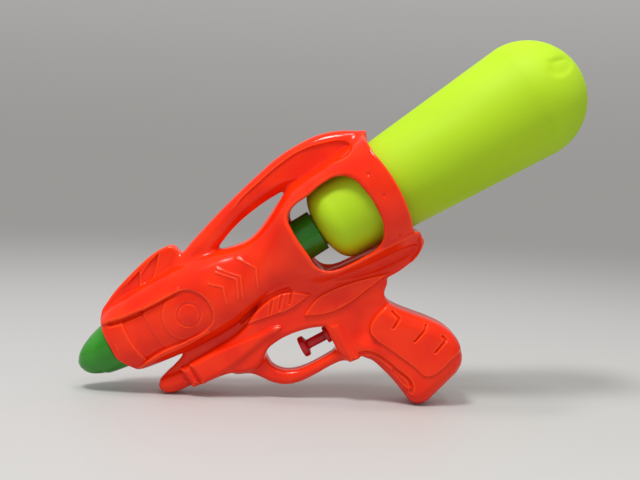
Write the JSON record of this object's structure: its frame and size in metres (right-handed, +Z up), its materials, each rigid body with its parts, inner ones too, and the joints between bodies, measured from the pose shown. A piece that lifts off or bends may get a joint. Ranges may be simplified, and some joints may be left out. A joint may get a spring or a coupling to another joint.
{
  "type": "water squirter",
  "caption": "Toy water squirter: moulded two-half body with carrying arch and pistol grip, push trigger piston pump with ball valves, bullet nozzle and a screw-in rear tank.",
  "frame": {"origin": "middle of the bounding box's base, on the surface that the squirter stands on", "axes": "+Z up, nose towards -X and tank towards +X, left side towards -Y; it stands nose down on its under-rail tip and grip toe"},
  "size_m": [0.2794, 0.0668, 0.2047],
  "materials": {
    "body_plastic": "glossy fluorescent orange-red moulding",
    "green_plastic": "glossy green moulding",
    "tank_plastic": "satin fluorescent yellow blow moulding",
    "trigger_plastic": "glossy dark red moulding",
    "inner_plastic": "natural white moulding",
    "hose": "soft clear tube",
    "rubber": "black rubber",
    "steel": "plain steel"
  },
  "bodies": {
    "squirter_body": {"left_shell": "body_plastic", "right_shell": "body_plastic", "nozzle_cone": "green_plastic", "nozzle_jet": "inner_plastic", "outlet_tube": "hose", "pump_cylinder": "inner_plastic", "pump_gland": "trigger_plastic", "return_spring": "steel", "inlet_fitting": "inner_plastic", "inlet_spring": "steel", "outlet_fitting": "inner_plastic", "outlet_spring": "steel", "suction_tube": "hose", "tank_cap": "green_plastic", "dip_tube": "hose", "body_screw_1": "steel", "body_screw_2": "steel", "body_screw_3": "steel", "body_screw_4": "steel", "body_screw_5": "steel", "body_screw_6": "steel"},
    "trigger_rod": {"trigger": "trigger_plastic", "piston": "inner_plastic", "piston_seal": "rubber"},
    "gasket_ring": {"cap_gasket": "rubber"},
    "tank_shell": {"tank": "tank_plastic"},
    "inlet_valve_ball": {"inlet_ball": "steel"},
    "outlet_valve_ball": {"outlet_ball": "steel"}
  },
  "joints": [
    {"name": "trigger_push", "type": "slide", "parent": "squirter_body", "child": "trigger_rod", "axis": [0.8636, 0, 0.5043], "range_m": [0, 0.01], "stiffness_N_per_m": 250, "springref_m": -0.004, "deforming": ["return_spring"]},
    {"name": "tank_turn", "type": "hinge", "parent": "squirter_body", "child": "gasket_ring", "pos_m": [-0.01103, 0, 0.09183], "axis": [0.8282, 0, 0.5604], "range_deg": [0, 720]},
    {"name": "tank_draw", "type": "slide", "parent": "gasket_ring", "child": "tank_shell", "axis": [0.8282, 0, 0.5604], "range_m": [0, 0.006]},
    {"name": "inlet_lift", "type": "slide", "parent": "squirter_body", "child": "inlet_valve_ball", "axis": [0.5043, 0, -0.8636], "range_m": [0, 0.0012], "stiffness_N_per_m": 30, "springref_m": -0.001, "deforming": ["inlet_spring"]},
    {"name": "outlet_lift", "type": "slide", "parent": "squirter_body", "child": "outlet_valve_ball", "axis": [0.5043, 0, -0.8636], "range_m": [0, 0.0012], "stiffness_N_per_m": 30, "springref_m": -0.001, "deforming": ["outlet_spring"]}
  ],
  "couplings": [
    {"joint": "tank_draw", "follows": "tank_turn", "m_per_rad": 0.00047746}
  ]
}
